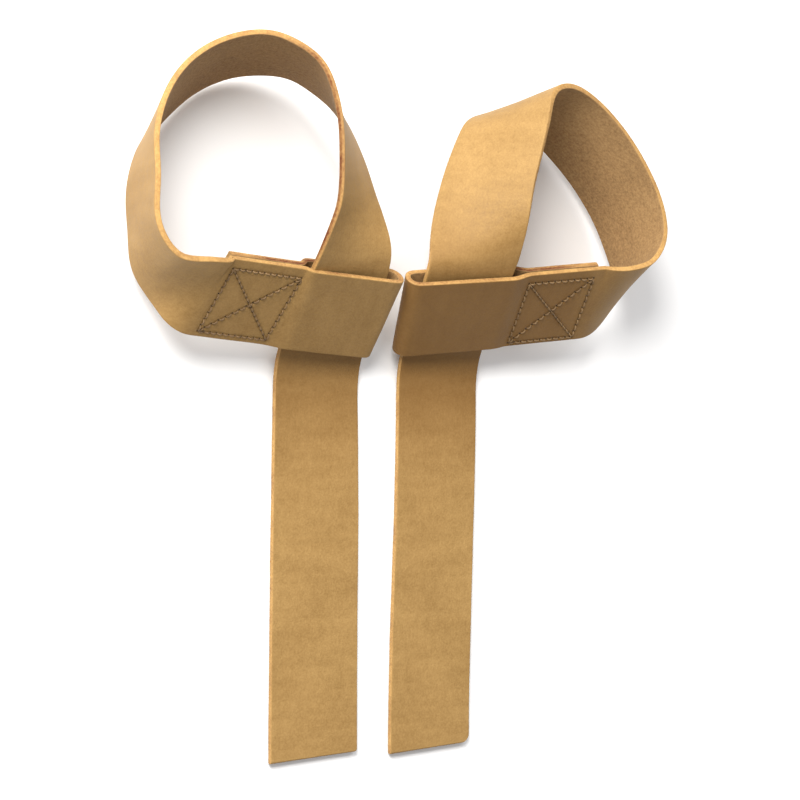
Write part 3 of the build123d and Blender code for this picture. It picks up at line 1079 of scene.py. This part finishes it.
half_reach = calculate(stitching, "MULTIPLY", given.outputs["Stitch Reach"], 0.5)
dip = calculate(stitching, "MULTIPLY", given.outputs["Stitch Dip"], -1.0)
crown = calculate(stitching, "MULTIPLY", given.outputs["Stitch Rise"], 1.5)
arch = add_node(
    stitching, "GeometryNodeCurvePrimitiveBezierSegment", {"mode": "POSITION"}, {"Resolution": 7}
)
shoulder = calculate(stitching, "MULTIPLY", half_reach, 0.8)
for socket, place_along, level in (
    ("Start", calculate(stitching, "MULTIPLY", half_reach, -1.0), dip),
    ("Start Handle", calculate(stitching, "MULTIPLY", shoulder, -1.0), crown),
    ("End Handle", shoulder, crown),
    ("End", half_reach, dip),
):
    stitching.links.new(point_of(stitching, place_along, 0.0, level), arch.inputs[socket])
twist = add_node(stitching, "GeometryNodeSetCurveTilt")
progress = stitching.nodes.new("GeometryNodeSplineParameter")
stitching.links.new(arch.outputs["Curve"], twist.inputs["Curve"])
turned = calculate(stitching, "MULTIPLY", progress.outputs["Factor"], TWIST)
stitching.links.new(turned, twist.inputs["Tilt"])
section = add_node(
    stitching,
    "GeometryNodeCurvePrimitiveCircle",
    {"mode": "RADIUS"},
    {"Resolution": PLIES * PLY_POINTS},
)
stitching.links.new(given.outputs["Thread Radius"], section.inputs["Radius"])
index = stitching.nodes.new("GeometryNodeInputIndex")
lobe = calculate(stitching, "MODULO", index.outputs[0], float(PLY_POINTS))
valley = calculate(stitching, "COMPARE", lobe, 0.0, 0.1)
shrink = calculate(stitching, "MULTIPLY_ADD", valley, PLY_VALLEY, 1.0)
position = stitching.nodes.new("GeometryNodeInputPosition")
lobed = add_node(stitching, "ShaderNodeVectorMath", {"operation": "SCALE"})
stitching.links.new(position.outputs[0], lobed.inputs[0])
stitching.links.new(shrink, lobed.inputs["Scale"])
profile = stitching.nodes.new("GeometryNodeSetPosition")
stitching.links.new(section.outputs["Curve"], profile.inputs["Geometry"])
stitching.links.new(lobed.outputs[0], profile.inputs["Position"])
stitch = add_node(stitching, "GeometryNodeCurveToMesh", {}, {"Fill Caps": True})
stitching.links.new(twist.outputs["Curve"], stitch.inputs["Curve"])
stitching.links.new(profile.outputs["Geometry"], stitch.inputs["Profile Curve"])
placed = stitching.nodes.new("GeometryNodeInstanceOnPoints")
stitching.links.new(spaced.outputs["Curve"], placed.inputs["Points"])
stitching.links.new(stitch.outputs["Mesh"], placed.inputs["Instance"])
stitching.links.new(axes.outputs["Rotation"], placed.inputs["Rotation"])
rounded = stitching.nodes.new("GeometryNodeSetShadeSmooth")
stitching.links.new(placed.outputs["Instances"], rounded.inputs["Geometry"])
finish_tree(stitching, rounded.outputs["Geometry"], given.outputs["Thread"])

thread_materials = {}
for thread_name, colour in THREAD_COLOURS.items():
    thread = bpy.data.materials.new(thread_name)
    thread.use_nodes = True
    tree = thread.node_tree
    fibre = tree.nodes["Principled BSDF"]
    fibre.inputs["Roughness"].default_value = 0.62
    fibre.inputs["Sheen Weight"].default_value = 0.05
    where = tree.nodes.new("ShaderNodeTexCoord")
    scaled = add_node(tree, "ShaderNodeMapping", {}, {"Scale": TO_MM})
    tree.links.new(where.outputs["Object"], scaled.inputs["Vector"])
    lint = ramp(tree, noise(tree, scaled.outputs["Vector"], LINT_PER_MM, 4.0, 0.7), 0.32, 0.68)
    wax = ramp(tree, noise(tree, scaled.outputs["Vector"], WAX_PER_MM, 2.0), 0.35, 0.65)
    worn = average(tree, [(lint, 0.6), (wax, 0.4)])
    shade = (*(part * share for part, share in zip(colour, THREAD_SHADE)), 1.0)
    tree.links.new(mix_colours(tree, worn, shade, colour), fibre.inputs["Base Color"])
    fuzz = add_node(tree, "ShaderNodeBump", {}, {"Strength": 0.5, "Distance": 0.0001})
    tree.links.new(lint, fuzz.inputs["Height"])
    tree.links.new(fuzz.outputs["Normal"], fibre.inputs["Normal"])
    thread_materials[thread_name] = thread

for name, strap in STRAPS.items():
    along, height = sleeve_axes(strap["side"])
    mouth = np.array([strap["x"], MOUTH_Y, MOUTH_Z])
    faces = {
        "needle_thread": (LAYER_PITCH + THICK / 2, OUTWARD),
        "bobbin_thread": (LAYER_PITCH - THICK * 1.5 - PINCH, -OUTWARD),
    }
    for thread_name, (level, facing) in faces.items():
        points = []
        for start, end in seam_runs(strap):
            for p, q in (start, end):
                on_face = mouth + along * p + height * q + OUTWARD * level
                points.append(on_face - facing * GROOVE_DEPTH)
        edges = [(2 * i, 2 * i + 1) for i in range(len(points) // 2)]
        seam_mesh = bpy.data.meshes.new(f"{name}_{thread_name}_seam")
        seam_mesh.from_pydata((np.array(points) * MM).tolist(), edges, [])
        seam = bpy.data.objects.new(f"{name}_{thread_name}_seam", seam_mesh)
        bpy.context.scene.collection.objects.link(seam)
        plain_mesh(
            seam,
            stitching,
            {"Thread": thread_materials[thread_name], "Face Direction": tuple(facing)},
        )
        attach(seam, f"{name}_sleeve")
        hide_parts(f"{name}_{thread_name}")
